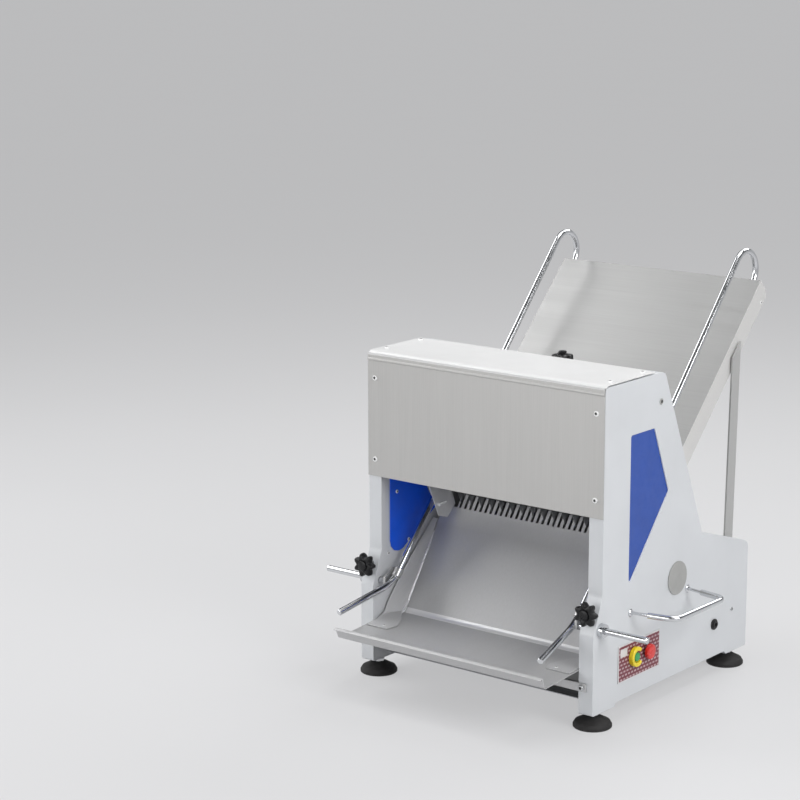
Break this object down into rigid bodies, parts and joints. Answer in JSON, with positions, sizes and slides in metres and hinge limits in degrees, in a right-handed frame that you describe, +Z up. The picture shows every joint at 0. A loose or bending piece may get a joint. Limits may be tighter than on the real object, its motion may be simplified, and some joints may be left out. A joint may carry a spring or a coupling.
{
  "type": "commercial bread slicer",
  "caption": "Countertop bread slicer with a steep rear loaf chute, two counter-moving blade frames, a front outlet tray and a crumb drawer.",
  "frame": {"origin": "on the floor, under the middle of the whole machine with its rods, handles and tray", "axes": "+X to the machine's right as the operator at the tray sees it, +Y to the rear, towards the chute, +Z up"},
  "size_m": [0.722, 0.7393, 0.7844],
  "materials": {
    "side_panel_paint": "semi-gloss light grey paint",
    "inner_wall_paint": "semi-gloss light grey paint",
    "front_panel_steel": "brushed stainless steel, brushed up and down",
    "cover_paint": "semi-gloss light grey paint",
    "chute_steel": "brushed stainless steel",
    "tray_steel": "satin stainless steel",
    "frame_steel": "ground steel",
    "blade_steel": "polished blade steel",
    "chrome": "bright chrome plate",
    "window_blue": "deep blue, gloss",
    "shield_blue": "deep blue, gloss",
    "knob_black": "black phenolic plastic",
    "gland_black": "black nylon",
    "foot_rubber": "black rubber",
    "rail_nylon": "natural nylon",
    "cast_iron": "machined grey iron",
    "motor_paint": "blue-grey motor enamel",
    "belt_rubber": "black rubber belt",
    "disc_grey": "mid grey",
    "switch_plate_print": "printed plate, pale border round a dark red field",
    "guard_yellow": "yellow",
    "start_green": "green",
    "stop_red": "red"
  },
  "bodies": {
    "machine": {"left_side_panel": "side_panel_paint", "right_side_panel": "side_panel_paint", "left_inner_wall": "inner_wall_paint", "right_inner_wall": "inner_wall_paint", "left_window_plate": "window_blue", "right_window_plate": "window_blue", "left_inner_shield": "shield_blue", "right_inner_shield": "shield_blue", "front_panel": "front_panel_steel", "top_cover": "cover_paint", "upper_rear_cover": "cover_paint", "rear_housing_cover": "cover_paint", "base_plate": "frame_steel", "discharge_tray": "tray_steel", "left_tray_wall": "tray_steel", "right_tray_wall": "tray_steel", "tray_cross_bar": "tray_steel", "infeed_chute": "chute_steel", "left_chute_strut": "tray_steel", "right_chute_strut": "tray_steel", "left_side_guard": "tray_steel", "right_side_guard": "tray_steel", "left_rod_clamp": "chrome", "right_rod_clamp": "chrome", "left_guide_rail": "rail_nylon", "right_guide_rail": "rail_nylon", "left_shaft_bearing": "cast_iron", "right_shaft_bearing": "cast_iron", "drive_belt": "belt_rubber", "motor": "motor_paint", "motor_plate": "frame_steel", "left_front_foot": "foot_rubber", "right_front_foot": "foot_rubber", "left_rear_foot": "foot_rubber", "right_rear_foot": "foot_rubber", "left_carry_handle": "chrome", "right_carry_handle": "chrome", "access_cover": "disc_grey", "switch_plate": "switch_plate_print", "start_guard_ring": "guard_yellow", "cable_gland": "gland_black"},
    "front_cutter": {"front_blade_frame": "frame_steel", "front_blades": "blade_steel", "left_front_connecting_rod": "cast_iron", "right_front_connecting_rod": "cast_iron"},
    "rear_cutter": {"rear_blade_frame": "frame_steel", "rear_blades": "blade_steel", "left_rear_connecting_rod": "cast_iron", "right_rear_connecting_rod": "cast_iron"},
    "crank": {"crankshaft": "cast_iron"},
    "motor_rotor": {"motor_pulley": "cast_iron"},
    "left_guide": {"left_guide_rod": "chrome"},
    "right_guide": {"right_guide_rod": "chrome"},
    "left_knob": {"left_clamp_knob": "knob_black"},
    "right_knob": {"right_clamp_knob": "knob_black"},
    "hold_down_knob": {"press_knob": "knob_black"},
    "hold_down": {"press_plate": "chute_steel"},
    "start": {"start_button": "start_green"},
    "stop": {"stop_button": "stop_red"},
    "drawer": {"crumb_drawer": "chute_steel"}
  },
  "joints": [
    {"name": "front_frame_stroke", "type": "slide", "parent": "machine", "child": "front_cutter", "axis": [0, -0.3939, 0.9191], "range_m": [-0.01, 0.01]},
    {"name": "rear_frame_stroke", "type": "slide", "parent": "machine", "child": "rear_cutter", "axis": [0, -0.3939, 0.9191], "range_m": [-0.01, 0.01]},
    {"name": "crankshaft_spin", "type": "hinge", "parent": "machine", "child": "crank", "pos_m": [0, 0.04863, 0.1035], "axis": [1, 0, 0], "continuous": true},
    {"name": "motor_spin", "type": "hinge", "parent": "machine", "child": "motor_rotor", "pos_m": [-0.171, 0.18005, 0.133], "axis": [1, 0, 0], "continuous": true},
    {"name": "left_guide_shift", "type": "slide", "parent": "machine", "child": "left_guide", "axis": [1, 0, 0], "range_m": [0, 0.009]},
    {"name": "right_guide_shift", "type": "slide", "parent": "machine", "child": "right_guide", "axis": [-1, 0, 0], "range_m": [0, 0.009]},
    {"name": "left_clamp_knob_turn", "type": "hinge", "parent": "machine", "child": "left_knob", "pos_m": [-0.2485, -0.26195, 0.215], "axis": [0, -1, 0], "range_deg": [0, 360]},
    {"name": "right_clamp_knob_turn", "type": "hinge", "parent": "machine", "child": "right_knob", "pos_m": [0.2485, -0.26195, 0.215], "axis": [0, -1, 0], "range_deg": [0, 360]},
    {"name": "hold_down_knob_turn", "type": "hinge", "parent": "machine", "child": "hold_down_knob", "pos_m": [0, 0.01515, 0.5943], "axis": [0, 0, 1], "range_deg": [0, 360]},
    {"name": "hold_down_height", "type": "slide", "parent": "machine", "child": "hold_down", "axis": [0, 0, 1], "range_m": [0, 0.045]},
    {"name": "start_button_press", "type": "slide", "parent": "machine", "child": "start", "axis": [-1, 0, 0], "range_m": [0, 0.004], "stiffness_N_per_m": 400, "springref_m": -0.001},
    {"name": "stop_button_press", "type": "slide", "parent": "machine", "child": "stop", "axis": [-1, 0, 0], "range_m": [0, 0.004], "stiffness_N_per_m": 400, "springref_m": -0.001},
    {"name": "crumb_drawer_slide", "type": "slide", "parent": "machine", "child": "drawer", "axis": [0, 1, 0], "range_m": [0, 0.3]}
  ],
  "couplings": [
    {"joint": "rear_frame_stroke", "follows": "front_frame_stroke", "ratio": -1},
    {"joint": "motor_spin", "follows": "crankshaft_spin", "ratio": 2.1429}
  ]
}
